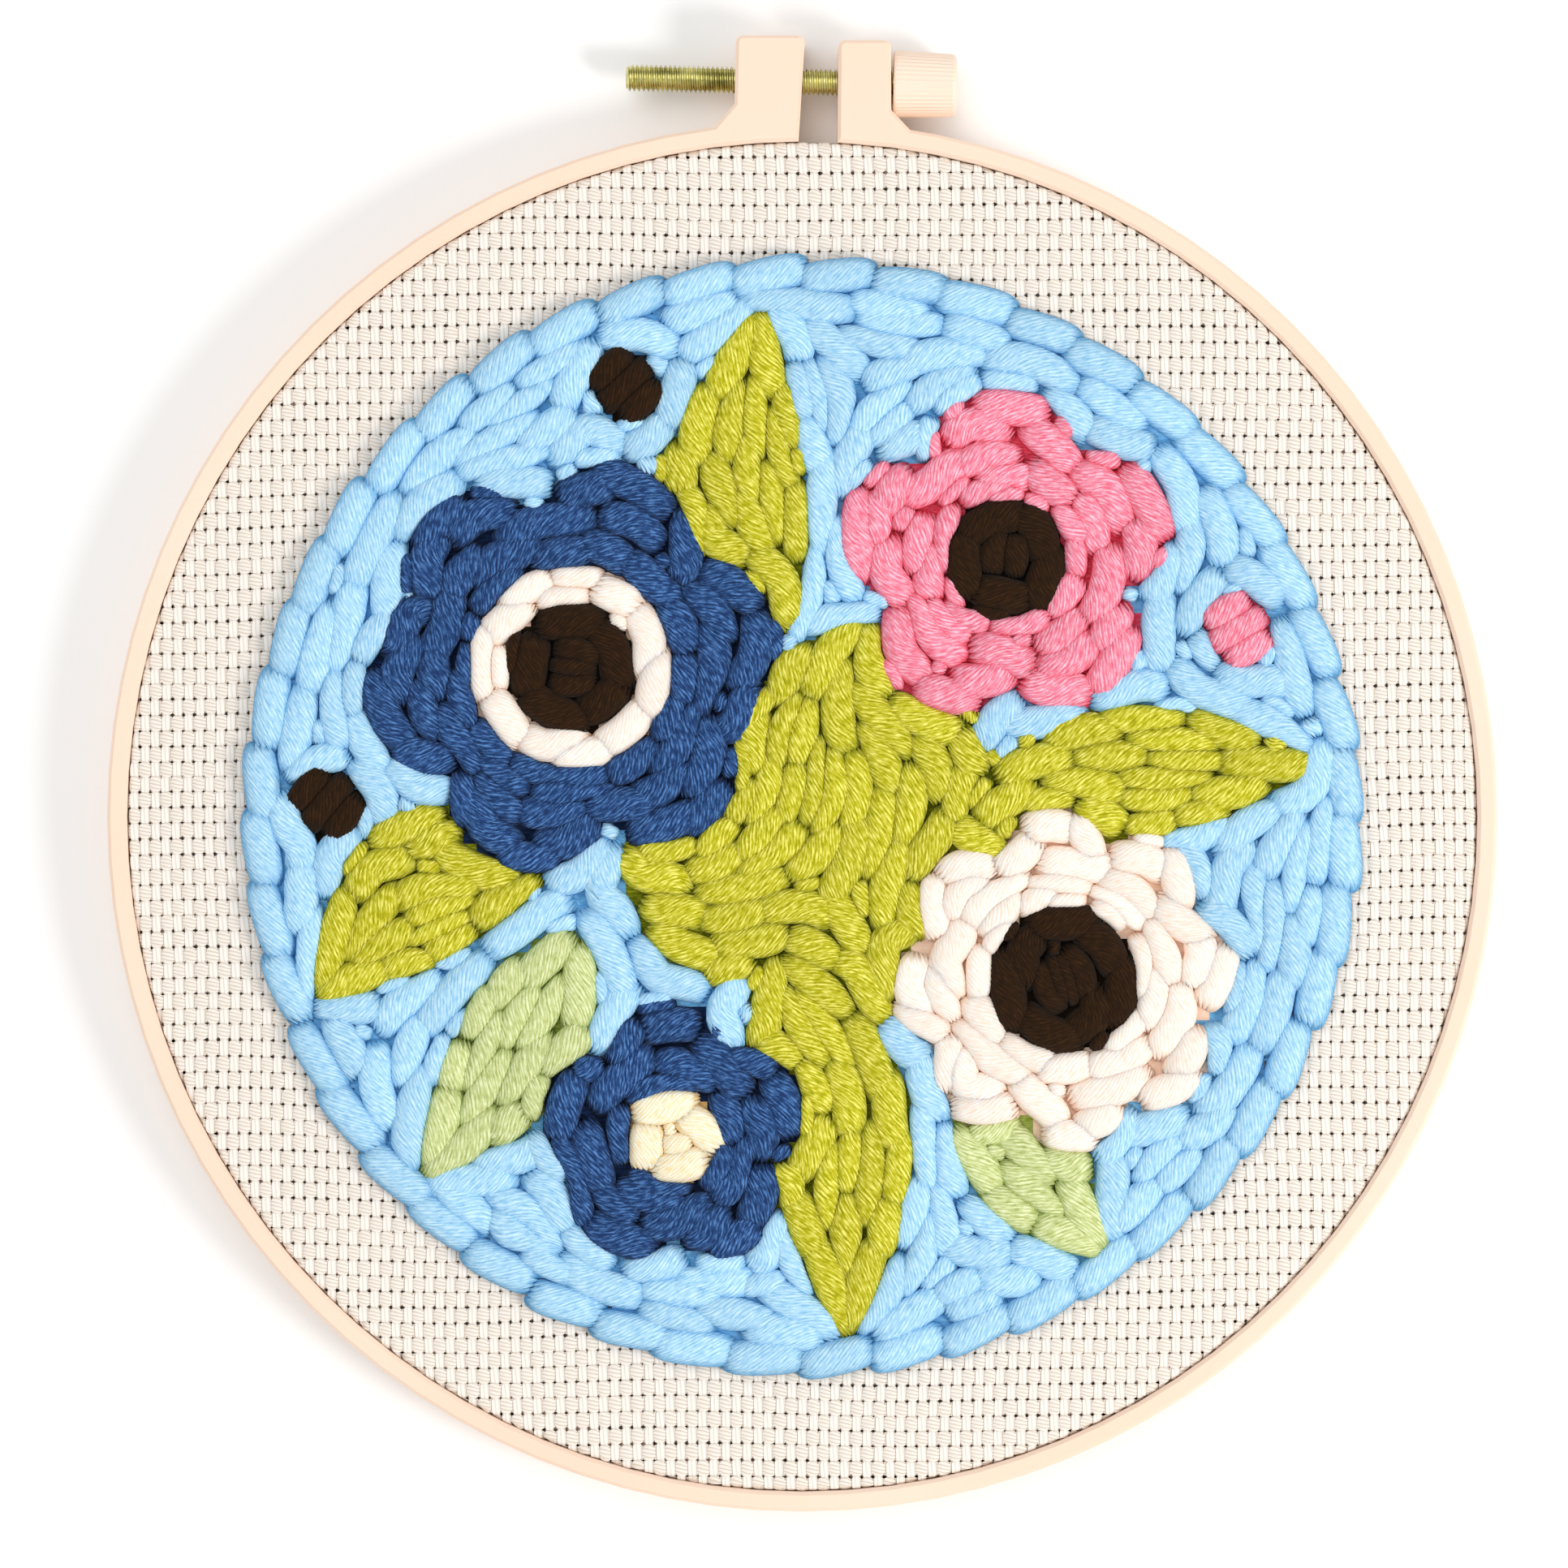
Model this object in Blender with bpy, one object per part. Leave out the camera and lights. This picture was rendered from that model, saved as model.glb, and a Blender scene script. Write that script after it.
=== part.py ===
"""Embroidery hoop art: a yarn-stitched disc on even-weave cloth, held in a plastic hoop with a screw clamp.

The hoop lies on its back. +X runs to the right, +Y runs up through the clamp, +Z comes out of the stitching.
The origin is under the middle of the whole outline, on the surface that the hoop lies on.
Sizes are in millimetres until a mesh is made, and meshes are in metres.
"""

import math
from collections import namedtuple

import bmesh
import bpy
from mathutils import Matrix, Vector

MM = 0.001
GAP = 0.3

# The hoop's two rings
OUTER_RADIUS = 102.5
OUTER_WALL = 2.9
OUTER_HEIGHT = 10.4
INNER_RADIUS = 98.0
INNER_WALL = 2.6
INNER_HEIGHT = 8.7
RING_BEVEL = 0.5
RING_SEGMENTS = 96

# The two ears of the clamp, measured from the ring's centre
LEFT_EAR_TOP = 115.2
RIGHT_EAR_TOP = 114.5
LEFT_EAR_LEFT = -9.8
LEFT_EAR_RIGHT = 0.35
RIGHT_EAR_LEFT = 5.3
RIGHT_EAR_RIGHT = 13.1
GAP_FOOT_LEFT = -0.55
GAP_FOOT_RIGHT = 5.2
LEFT_FLARE = ((-10.0, 105.1), (-13.0, 101.7))
RIGHT_FLARE = ((13.1, 104.2), (15.9, 101.3))
EAR_ROUNDING = 1.0

# The clamp screw and its knob, along the screw's own axis
SCREW_RADIUS = 2.0
SCREW_HOLE_RADIUS = 2.35
SCREW_LEFT = -26.1
SCREW_RIGHT = 18.6
SCREW_CHAMFER = 0.5
SCREW_HEIGHT = 5.2
SCREW_Y = 108.9
SCREW_TILT = math.radians(-1.4)
KNOB_LEFT = 13.5
KNOB_LENGTH = 9.4
KNOB_RADIUS_LEFT = 5.0
KNOB_RADIUS_RIGHT = 4.65
KNOB_ROUNDING = 0.9

# The cloth, stretched over the inner ring and caught between the rings
CLOTH_FACE = 10.0
CLOTH_THICKNESS = 1.0
CLOTH_RADIUS = INNER_RADIUS + GAP + CLOTH_THICKNESS
CLOTH_TRIM_HEIGHT = 1.6

# The stitched disc
DISC_RADIUS = 82.0
RIM_STITCHES = 48
RIM_SCALLOP = 1.0
YARN_FOOT = CLOTH_FACE + GAP
YARN_SIDE = 12.3
SHOULDER = 0.8

# The whole outline is centred on the origin, so the ring's centre lies below it
RING_CENTRE = Vector((0.0, (OUTER_RADIUS - LEFT_EAR_TOP) / 2, 0.0))

COLOURS = {
    "peach plastic": (0.95, 0.80, 0.61),
    "white cotton": (0.86, 0.82, 0.76),
    "zinc": (0.50, 0.46, 0.27),
    "sky": (0.41, 0.68, 0.92),
    "olive": (0.50, 0.52, 0.03),
    "sage": (0.49, 0.68, 0.24),
    "navy": (0.03, 0.10, 0.31),
    "pink": (0.88, 0.24, 0.39),
    "cream": (0.96, 0.80, 0.70),
    "yellow": (0.96, 0.76, 0.36),
    "dark brown": (0.03, 0.012, 0.005),
}

# Every motif is stitched over the ones above it in these lists, so a later one cuts an earlier one.
Rosette = namedtuple("Rosette", "name colour x y radius petals turn notch crown")
Leaf = namedtuple("Leaf", "name colour base_x base_y tip_x tip_y width bend crown")
Spot = namedtuple("Spot", "name colour x y radius crown")

FOLIAGE = [
    Rosette("yarn_foliage", "olive", 3.0, -1.0, 31.0, 5, -8.0, 0.20, 13.2),
    Leaf("yarn_leaf_top", "olive", -9.0, 20.0, -6.0, 75.0, 23.0, 3.0, 13.4),
    Leaf("yarn_leaf_right", "olive", 24.0, 1.0, 76.0, 8.0, 20.0, 2.0, 13.4),
    Leaf("yarn_leaf_left", "olive", -38.0, -2.0, -72.0, -27.0, 22.0, -4.0, 13.4),
    Leaf("yarn_sage_left", "sage", -33.0, -17.0, -56.0, -53.0, 19.0, 2.0, 13.4),
    Leaf("yarn_leaf_bottom", "olive", -3.0, -20.0, 7.0, -77.0, 23.0, 3.0, 13.4),
    Leaf("yarn_sage_right", "sage", 27.0, -34.0, 44.0, -65.0, 18.0, -3.0, 13.4),
]
PETALS = [
    Rosette("yarn_navy_petals", "navy", -34.0, 22.0, 31.0, 6, 12.0, 0.26, 13.6),
    Rosette("yarn_pink_petals", "pink", 30.0, 38.0, 25.0, 5, 20.0, 0.28, 13.6),
    Rosette("yarn_daisy_petals", "cream", 38.5, -24.0, 25.5, 8, 5.0, 0.22, 13.6),
    Rosette("yarn_small_petals", "navy", -19.0, -47.0, 20.0, 5, 20.0, 0.28, 13.6),
]
SPOTS = [
    Spot("yarn_navy_ring", "cream", -34.0, 22.0, 15.0, 13.5),
    Spot("yarn_navy_core", "dark brown", -34.0, 22.0, 9.5, 13.4),
    Spot("yarn_pink_core", "dark brown", 30.0, 38.0, 9.0, 13.4),
    Spot("yarn_daisy_core", "dark brown", 38.5, -24.0, 11.0, 13.4),
    Spot("yarn_small_core", "yellow", -19.0, -47.0, 7.0, 13.5),
    Spot("yarn_berry_top", "dark brown", -26.0, 63.5, 5.2, 13.3),
    Spot("yarn_berry_right", "pink", 64.0, 27.5, 5.2, 13.3),
    Spot("yarn_berry_left", "dark brown", -70.0, 2.0, 5.2, 13.3),
]
SKY_CROWN = 13.0
POINTS_PER_PETAL = 9
LEAF_STATIONS = 11
SPOT_POINTS = 20
SKY_POINTS_PER_STITCH = 3


def clear_scene():
    for obj in list(bpy.data.objects):
        bpy.data.objects.remove(obj, do_unlink=True)


def make_material(colour):
    material = bpy.data.materials.new(colour)
    material.use_nodes = True
    shader = material.node_tree.nodes["Principled BSDF"]
    shader.inputs["Base Color"].default_value = (*COLOURS[colour], 1.0)
    shader.inputs["Roughness"].default_value = 0.35 if colour in ("peach plastic", "zinc") else 0.9
    shader.inputs["Metallic"].default_value = 0.9 if colour == "zinc" else 0.0
    return material


def make_object(name, mesh_data, material, parent=None):
    """Turn a bmesh in millimetres into an object in metres."""
    mesh = bpy.data.meshes.new(name)
    bmesh.ops.scale(mesh_data, vec=(MM, MM, MM), verts=mesh_data.verts)
    bmesh.ops.recalc_face_normals(mesh_data, faces=mesh_data.faces)
    mesh_data.to_mesh(mesh)
    mesh_data.free()
    mesh.shade_smooth()
    mesh.set_sharp_from_angle(angle=math.radians(35))
    obj = bpy.data.objects.new(name, mesh)
    bpy.context.collection.objects.link(obj)
    if material:
        mesh.materials.append(material)
    obj.parent = parent
    return obj


def loft(loops):
    """Skin a stack of closed loops of equal length and close both ends with flat faces."""
    mesh_data = bmesh.new()
    rows = [[mesh_data.verts.new(point) for point in loop] for loop in loops]
    count = len(rows[0])
    for lower, upper in zip(rows, rows[1:]):
        for index in range(count):
            following = (index + 1) % count
            mesh_data.faces.new((lower[index], lower[following], upper[following], upper[index]))
    mesh_data.faces.new(list(reversed(rows[0])))
    mesh_data.faces.new(rows[-1])
    return mesh_data


def at_height(outline, height):
    return [(x, y, height) for x, y in outline]


def arc(centre_x, centre_y, radius, start, end, steps):
    """Points from the start angle to the end angle, both included, in radians."""
    angles = [start + (end - start) * step / steps for step in range(steps + 1)]
    return [(centre_x + radius * math.cos(a), centre_y + radius * math.sin(a)) for a in angles]


def ring_arc(radius, start_x, end_x):
    """The long way round the ring from one side of the clamp to the other, clockwise.

    Between its ends the points keep to the ring's own even steps, so all the round pieces line up.
    """
    step = 2 * math.pi / RING_SEGMENTS
    start = math.acos(start_x / radius)
    end = math.acos(end_x / radius) - 2 * math.pi
    first = math.floor(start / step - 0.25)
    last = math.ceil(end / step + 0.25)
    angles = [start] + [index * step for index in range(first, last - 1, -1)] + [end]
    return [(radius * math.cos(a), radius * math.sin(a)) for a in angles]


def inset(outline, distance):
    """Move a clockwise outline inwards by a small distance, with mitred corners."""
    moved = []
    count = len(outline)
    for index in range(count):
        before, here, after = (Vector(outline[(index + k) % count]) for k in (-1, 0, 1))
        first = (here - before).normalized()
        second = (after - here).normalized()
        first_normal = Vector((first.y, -first.x))
        second_normal = Vector((second.y, -second.x))
        shift = (first_normal + second_normal) / (1 + first_normal.dot(second_normal))
        moved.append(tuple(here + distance * shift))
    return moved


def ear_top(left, right, top):
    """The top edge of an ear from left to right, with its two corners rounded."""
    left_corner = arc(left + EAR_ROUNDING, top - EAR_ROUNDING, EAR_ROUNDING, math.pi, math.pi / 2, 3)
    right_corner = arc(right - EAR_ROUNDING, top - EAR_ROUNDING, EAR_ROUNDING, math.pi / 2, 0.0, 3)
    return left_corner + right_corner


def outer_ring_outline():
    """Clockwise, from the right ear round the outside to the left ear and back along the inside."""
    right_side = list(RIGHT_FLARE)
    around_outside = ring_arc(OUTER_RADIUS, RIGHT_FLARE[1][0], LEFT_FLARE[1][0])
    left_side = [LEFT_FLARE[0]]
    left_top = ear_top(LEFT_EAR_LEFT, LEFT_EAR_RIGHT, LEFT_EAR_TOP)
    inside_radius = OUTER_RADIUS - OUTER_WALL
    around_inside = list(reversed(ring_arc(inside_radius, GAP_FOOT_RIGHT, GAP_FOOT_LEFT)))
    right_top = ear_top(RIGHT_EAR_LEFT, RIGHT_EAR_RIGHT, RIGHT_EAR_TOP)
    return right_side[:1] + around_outside + left_side + left_top + around_inside + right_top


def build_outer_ring(material, parent):
    outline = outer_ring_outline()
    loops = [
        at_height(inset(outline, RING_BEVEL), 0.0),
        at_height(outline, RING_BEVEL),
        at_height(outline, OUTER_HEIGHT - RING_BEVEL),
        at_height(inset(outline, RING_BEVEL), OUTER_HEIGHT),
    ]
    ring = make_object("outer_ring", loft(loops), material, parent)
    hole_length = 2.5 * (RIGHT_EAR_RIGHT - LEFT_EAR_LEFT)
    hole = turned([(SCREW_HOLE_RADIUS, -hole_length / 2), (SCREW_HOLE_RADIUS, hole_length / 2)], 24)
    cut(ring, make_cutter("screw_hole", hole, parent, screw_matrix()))
    return ring


def turned(profile, segments):
    """A solid of revolution about local Z from (radius, height) pairs that start and end off the axis."""
    loops = []
    for radius, height in profile:
        outline = arc(0.0, 0.0, radius, 0.0, 2 * math.pi * (segments - 1) / segments, segments - 1)
        loops.append(at_height(outline, height))
    return loft(loops)


def turned_shell(profile, segments):
    """A ring of revolution about Z: the closed (radius, height) profile never meets the axis."""
    mesh_data = bmesh.new()
    columns = []
    for segment in range(segments):
        angle = 2 * math.pi * segment / segments
        direction = Vector((math.cos(angle), math.sin(angle), 0.0))
        columns.append([mesh_data.verts.new(direction * r + Vector((0.0, 0.0, z))) for r, z in profile])
    for segment in range(segments):
        here = columns[segment]
        there = columns[(segment + 1) % segments]
        for index in range(len(profile)):
            following = (index + 1) % len(profile)
            mesh_data.faces.new((here[index], here[following], there[following], there[index]))
    return mesh_data


def build_inner_ring(material, parent):
    inside = INNER_RADIUS - INNER_WALL
    bevel = RING_BEVEL
    profile = [
        (inside, 0.0),
        (INNER_RADIUS - bevel, 0.0),
        (INNER_RADIUS, bevel),
        (INNER_RADIUS, INNER_HEIGHT - bevel),
        (INNER_RADIUS - bevel, INNER_HEIGHT),
        (inside, INNER_HEIGHT),
    ]
    return make_object("inner_ring", turned_shell(profile, RING_SEGMENTS), material, parent)


def build_cloth(material, parent):
    """A disc of cloth whose edge turns down over the inner ring and is trimmed close to the back."""
    inside = CLOTH_RADIUS - CLOTH_THICKNESS
    under = CLOTH_FACE - CLOTH_THICKNESS
    profile = [
        (inside - 0.8, under),
        (inside, under - 0.8),
        (inside, CLOTH_TRIM_HEIGHT),
        (CLOTH_RADIUS, CLOTH_TRIM_HEIGHT),
        (CLOTH_RADIUS, CLOTH_FACE - 2.2),
        (CLOTH_RADIUS - 0.35, CLOTH_FACE - 1.1),
        (CLOTH_RADIUS - 1.2, CLOTH_FACE - 0.3),
        (CLOTH_RADIUS - 2.8, CLOTH_FACE),
    ]
    return make_object("ground_cloth", turned(profile, RING_SEGMENTS), material, parent)


def screw_matrix():
    """The screw's axis: local Z runs from its free left end to the knob."""
    place = Matrix.Translation(Vector((0.0, SCREW_Y, SCREW_HEIGHT)) * MM)
    return place @ Matrix.Rotation(SCREW_TILT, 4, "Z") @ Matrix.Rotation(math.pi / 2, 4, "Y")


def build_screw(material, parent):
    profile = [
        (SCREW_RADIUS - SCREW_CHAMFER, SCREW_LEFT),
        (SCREW_RADIUS, SCREW_LEFT + SCREW_CHAMFER),
        (SCREW_RADIUS, SCREW_RIGHT),
    ]
    screw = make_object("clamp_screw", turned(profile, 20), material, parent)
    screw.matrix_local = screw_matrix()
    return screw


def build_knob(material, parent):
    """A tapering grip with a blind socket for the screw in its left end."""
    right = KNOB_LEFT + KNOB_LENGTH
    socket_radius = SCREW_RADIUS + GAP
    profile = [
        (socket_radius, SCREW_RIGHT + GAP),
        (socket_radius, KNOB_LEFT),
        (KNOB_RADIUS_LEFT - 0.3, KNOB_LEFT),
        (KNOB_RADIUS_LEFT, KNOB_LEFT + 0.3),
        (KNOB_RADIUS_RIGHT, right - KNOB_ROUNDING),
        (KNOB_RADIUS_RIGHT - 0.3, right - 0.3),
        (KNOB_RADIUS_RIGHT - KNOB_ROUNDING, right),
    ]
    knob = make_object("knob", turned(profile, 32), material, parent)
    knob.matrix_local = screw_matrix()
    return knob


def make_cutter(name, mesh_data, parent, matrix=None):
    cutter = make_object(f"cutter_{name}", mesh_data, None, parent)
    cutter.hide_render = True
    cutter.display_type = "WIRE"
    if matrix:
        cutter.matrix_local = matrix
    return cutter


def cut(obj, cutter):
    modifier = obj.modifiers.new(f"cut by {cutter.name}", "BOOLEAN")
    modifier.operation = "DIFFERENCE"
    modifier.solver = "EXACT"
    modifier.object = cutter


def rosette_outline(motif, margin):
    """Round petals about a centre, moved inwards by the margin, or outwards where it is negative."""
    outline = []
    count = motif.petals * POINTS_PER_PETAL
    for index in range(count):
        angle = 2 * math.pi * index / count
        swell = abs(math.cos(motif.petals * angle / 2)) ** 0.7
        radius = motif.radius * (1 - motif.notch + motif.notch * swell) - margin
        heading = angle + math.radians(motif.turn)
        outline.append((motif.x + radius * math.cos(heading), motif.y + radius * math.sin(heading)))
    return outline


def leaf_outline(motif, margin):
    """A pointed leaf about a bowed midrib, moved inwards by the margin."""
    base = Vector((motif.base_x, motif.base_y))
    along = Vector((motif.tip_x, motif.tip_y)) - base
    length = along.length
    along.normalize()
    across = Vector((-along.y, along.x))
    sides = {1: [], -1: []}
    for station in range(LEAF_STATIONS + 1):
        share = station / LEAF_STATIONS
        half_width = motif.width / 2 * math.sin(math.pi * share**0.8) ** 0.8 if 0 < share < 1 else 0.0
        half_width = max(half_width - margin, 0.15)
        middle = base + along * (margin + share * (length - 2.5 * margin))
        middle += across * motif.bend * math.sin(math.pi * share)
        for side, points in sides.items():
            points.append(tuple(middle + across * side * half_width))
    return sides[-1] + list(reversed(sides[1]))


def spot_outline(motif, margin):
    last_angle = 2 * math.pi * (SPOT_POINTS - 1) / SPOT_POINTS
    return arc(motif.x, motif.y, motif.radius - margin, 0.0, last_angle, SPOT_POINTS - 1)


def sky_outline(margin):
    """The disc's rim, scalloped by one stitch after another."""
    outline = []
    count = RIM_STITCHES * SKY_POINTS_PER_STITCH
    for index in range(count):
        angle = 2 * math.pi * index / count
        scallop = RIM_SCALLOP * (1 - abs(math.sin(RIM_STITCHES * angle / 2)))
        radius = DISC_RADIUS - scallop - margin
        outline.append((radius * math.cos(angle), radius * math.sin(angle)))
    return outline


def motif_outline(motif, margin):
    if isinstance(motif, Rosette):
        return rosette_outline(motif, margin)
    if isinstance(motif, Leaf):
        return leaf_outline(motif, margin)
    return spot_outline(motif, margin)


def pad(outline_at, crown):
    """A stitched area as a cushion: upright sides, a rounded shoulder and a flat crown."""
    return loft([
        at_height(outline_at(0.0), YARN_FOOT),
        at_height(outline_at(0.0), YARN_SIDE),
        at_height(outline_at(SHOULDER), crown),
    ])


def pad_cutter(motif, parent):
    """The room that a motif takes from the areas under it, wider at the top to round their edges."""
    loops = [
        at_height(motif_outline(motif, -GAP), YARN_FOOT - 1.0),
        at_height(motif_outline(motif, -GAP), YARN_SIDE),
        at_height(motif_outline(motif, -GAP - SHOULDER), SKY_CROWN + 0.2),
        at_height(motif_outline(motif, -GAP - SHOULDER), SKY_CROWN + 2.0),
    ]
    return make_cutter(motif.name, loft(loops), parent)


def bounds(outline):
    xs = [x for x, _ in outline]
    ys = [y for _, y in outline]
    return min(xs), max(xs), min(ys), max(ys)


def may_touch(first, second):
    low_x, high_x, low_y, high_y = bounds(motif_outline(first, 0.0))
    other_low_x, other_high_x, other_low_y, other_high_y = bounds(motif_outline(second, -GAP - SHOULDER))
    across = low_x < other_high_x and other_low_x < high_x
    return across and low_y < other_high_y and other_low_y < high_y


def build_yarn(materials, parent):
    motifs = FOLIAGE + PETALS + SPOTS
    cutters = {motif.name: pad_cutter(motif, parent) for motif in motifs}
    sky = make_object("yarn_sky", pad(sky_outline, SKY_CROWN), materials["sky"], parent)
    for motif in motifs:
        cut(sky, cutters[motif.name])
    for order, motif in enumerate(motifs):
        body = pad(lambda margin, shape=motif: motif_outline(shape, margin), motif.crown)
        area = make_object(motif.name, body, materials[motif.colour], parent)
        for upper in motifs[order + 1:]:
            if may_touch(motif, upper):
                cut(area, cutters[upper.name])


def main():
    clear_scene()
    materials = {colour: make_material(colour) for colour in COLOURS}
    hoop = bpy.data.objects.new("hoop_centre", None)
    hoop.location = RING_CENTRE * MM
    bpy.context.collection.objects.link(hoop)
    build_outer_ring(materials["peach plastic"], hoop)
    build_inner_ring(materials["peach plastic"], hoop)
    build_cloth(materials["white cotton"], hoop)
    build_screw(materials["zinc"], hoop)
    build_knob(materials["peach plastic"], hoop)
    build_yarn(materials, hoop)


main()
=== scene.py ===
"""Dresses the embroidery hoop: woven cloth, yarn stitches, screw, knob, materials, lights and camera.

Lengths are in millimetres from the middle of the hoop's rings until a mesh is made in metres.
The motifs' places repeat those of the model's cushions, one stitched piece for each of them.
"""

import math
from collections import namedtuple

import bpy
import numpy as np
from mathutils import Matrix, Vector
from mathutils.kdtree import KDTree


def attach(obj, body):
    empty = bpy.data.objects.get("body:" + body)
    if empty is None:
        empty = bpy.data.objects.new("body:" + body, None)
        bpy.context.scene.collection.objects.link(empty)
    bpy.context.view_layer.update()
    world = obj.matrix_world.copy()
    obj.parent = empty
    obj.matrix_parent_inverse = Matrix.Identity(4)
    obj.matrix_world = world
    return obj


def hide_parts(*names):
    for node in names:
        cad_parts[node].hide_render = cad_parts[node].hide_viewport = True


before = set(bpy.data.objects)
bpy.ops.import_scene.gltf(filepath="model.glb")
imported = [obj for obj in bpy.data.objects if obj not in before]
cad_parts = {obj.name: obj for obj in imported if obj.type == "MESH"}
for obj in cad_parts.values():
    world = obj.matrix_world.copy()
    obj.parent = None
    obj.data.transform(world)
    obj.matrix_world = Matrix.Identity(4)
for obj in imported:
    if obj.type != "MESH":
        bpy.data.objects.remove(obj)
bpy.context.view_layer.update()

MM = 0.001
RING_CENTRE = np.array([0.0, -6.35, 0.0])
SEED = 20
QUARTER_TURN = math.pi / 2
# Keeps a divisor away from zero
TINY = 1e-6

# The hoop, as it is in the model
CLOTH_TRIM_HEIGHT = 1.6
SCREW_RADIUS = 2.0
SCREW_LEFT = -26.1
SCREW_RIGHT = 18.6
SCREW_CHAMFER = 0.5
SCREW_HEIGHT = 5.2
SCREW_Y = 108.9
SCREW_TILT = math.radians(-1.4)
KNOB_LEFT = 13.5
KNOB_LENGTH = 9.4
KNOB_RADIUS_LEFT = 5.0
KNOB_RADIUS_RIGHT = 4.65
KNOB_ROUNDING = 0.9

# The cloth's weave: white warp strips run up the picture, cream weft rows run across it
WARP_PITCH = 1.615
WEFT_PITCH = 2.29
WEAVE_LIFT = 0.13
FLOAT_FLATNESS = 0.7
FLOAT_SLANT = 0.3
STRIP_CROWN = 0.05
WIDTH_STRAY = 0.02
THREAD_SHIFT = 13.7
WEAVE_MIDDLE = 9.55
CLOTH_FLAT_RADIUS = 99.1
CLOTH_ROLL_RADIUS = 0.32
STEPS_PER_CROSSING = 4

# Narrowing is the share of its width that a strip loses between two crossings; lines are its visible threads
Strips = namedtuple("Strips", "name upright pitch width crossing narrowing lines light shade")
# A strip's light colour is painted on its threads' tops, and its shade colour is painted shade in the grooves
# between them
WARP = Strips("warp", True, WARP_PITCH, 1.25, WEFT_PITCH, 0.06, 2, (249, 243, 235), (230, 219, 206))
WEFT = Strips("weft", False, WEFT_PITCH, 2.29, WARP_PITCH, 0.17, 4, (244, 236, 226), (213, 198, 181))

# How far each strip drifts sideways, over what length along it, and how much the next strip differs
Drift = namedtuple("Drift", "size length step")
STRIP_DRIFT = [Drift(0.10, 17.0, 0.9), Drift(0.07, 6.3, 2.1)]

# The slow waves that the stitching and the stretching leave in the flat weave, which fade out at the ring:
# their size, their lengths along and across their main direction, and where they start
Wave = namedtuple("Wave", "size along across start")
PULL_SIDEWAYS = [Wave(0.55, 13.0, 40.0, 0.0), Wave(0.3, 7.1, -21.0, 1.0)]
PULL_UPWARDS = [Wave(0.75, 16.0, -37.0, 0.6), Wave(0.35, 8.3, 19.0, 2.0)]
CALM_LEVEL = 1.08
CALM_POWER = 4

# The stitched disc
DISC_RADIUS = 82.0
GRID_MARGIN = 8.0
GRID_STEP = 0.5
SMALL_SPOT_RADIUS = 6.0
LEAF_LEAN = 0.8
LEAF_FULLNESS = 0.8
PETAL_FULLNESS = 0.7

# Headings follow the edge within a band beside it, and are smoothed from there into each area's middle;
# the blur counts grid steps
EDGE_BAND = 3.0
HEADING_PASSES = 30
HEADING_BLUR = 3
NO_DEPTH = 99.0

# How a stitch fills its cell: it is measured at marks along the cell, and its width is a share of the yarn's
SPREADING_PASSES = 26
LEAST_CELL = 20
PATH_POINTS = 9
END_OVERLAP = 0.6
MARK_INSET = 0.3
MARK_BAND = 1.6
SMOOTHING = (0.25, 0.5, 0.25)
NARROWEST = 0.55
NARROWEST_OF_OWN = 0.6
WIDEST = 1.38
TOP_STRAY = (-0.16, 0.16)

# The parallel stitches of a small spot
SPOT_HEADING = (0.3, 1.2)
SPOT_SHORTENING = 0.85
SPOT_BOW = 0.1
SPOT_WIDENING = 1.08
SPOT_RISE = (0.1, 0.3)

# The short stitches in the gaps that are left; the blur and the hiding reach count grid steps
MOST_FILLERS = 160
GAP_BLUR = 2
GAP_REACH = 3.2
GAP_SHARE = 0.36
GAP_DROP = 0.35
HIDING_RISE = 0.5
HIDING_REACH = 7

# The row round the disc's edge
RIM_STITCHES = 48
RIM_STITCH_LENGTH = 12.6
RIM_STITCH_WIDTH = 4.7
RIM_PATH_POINTS = 13
RIM_ROW_RADIUS = 79.75
RIM_ROW_INSIDE = 77.6
RIM_BODY_POWER = 2.4
RIM_BEND = 0.004
RIM_TURN_STRAY = (-0.008, 0.008)
RIM_LENGTH_STRAY = (0.95, 1.05)
RIM_ASKEW = 0.13
RIM_ASKEW_STRAY = (-0.04, 0.04)
RIM_WIDTH_STRAY = (0.94, 1.04)
RIM_TOP_STRAY = (-0.1, 0.15)

# The shape of one stitch
STITCH_FOOT = 10.05
SIDE_OVERLAP = 1.17
BODY_POWER = 3.2
STITCH_END_POWER = 3.4
STITCH_END_WIDTH = 0.42
STITCH_END_RISE = 0.9
PLY_SPACING = 0.46
PLY_SPACING_STRAY = (0.7, 1.3)
PLY_STEPS = 7
PLY_ANGLE = math.radians(35.0)
PLY_ANGLE_STRAY = (-0.1, 0.1)
PLY_RELIEF = 0.07
PLY_RELIEF_AT_ENDS = 0.3
PLY_ACROSS = np.array([-0.5, -0.2, 0.2, 0.5])
PLY_CREST = np.array([0.0, 1.0, 1.0, 0.0])
SHORTEST_PLY_TURN = 0.2
FIBRE_SHIFT = 200.0
BACK_FACE = 9.25
BACK_RISE = 0.9
BACK_WIDTH = 0.8
BACK_PLY_SPACING = 0.95
BACK_PLY_STEPS = 5

# The yarn that lies low between the stitches, in squares of so many grid steps; it takes the pits' painted
# shade
BED_TOP = 10.6
BED_SQUARE = 4
BED_WAVE = 0.1
BED_WAVE_X = 1.9
BED_WAVE_Y = 2.3
BED_BEFORE_RIM = 1.0
BED_UNDER_RIM = 1.5

Rosette = namedtuple("Rosette", "name colour x y radius petals turn notch top")
Leaf = namedtuple("Leaf", "name colour base_x base_y tip_x tip_y width bend top")
Spot = namedtuple("Spot", "name colour x y radius top")
Stitch = namedtuple("Stitch", "path width top")
Yarn = namedtuple("Yarn", "slot length width light body deep scatter")

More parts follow.
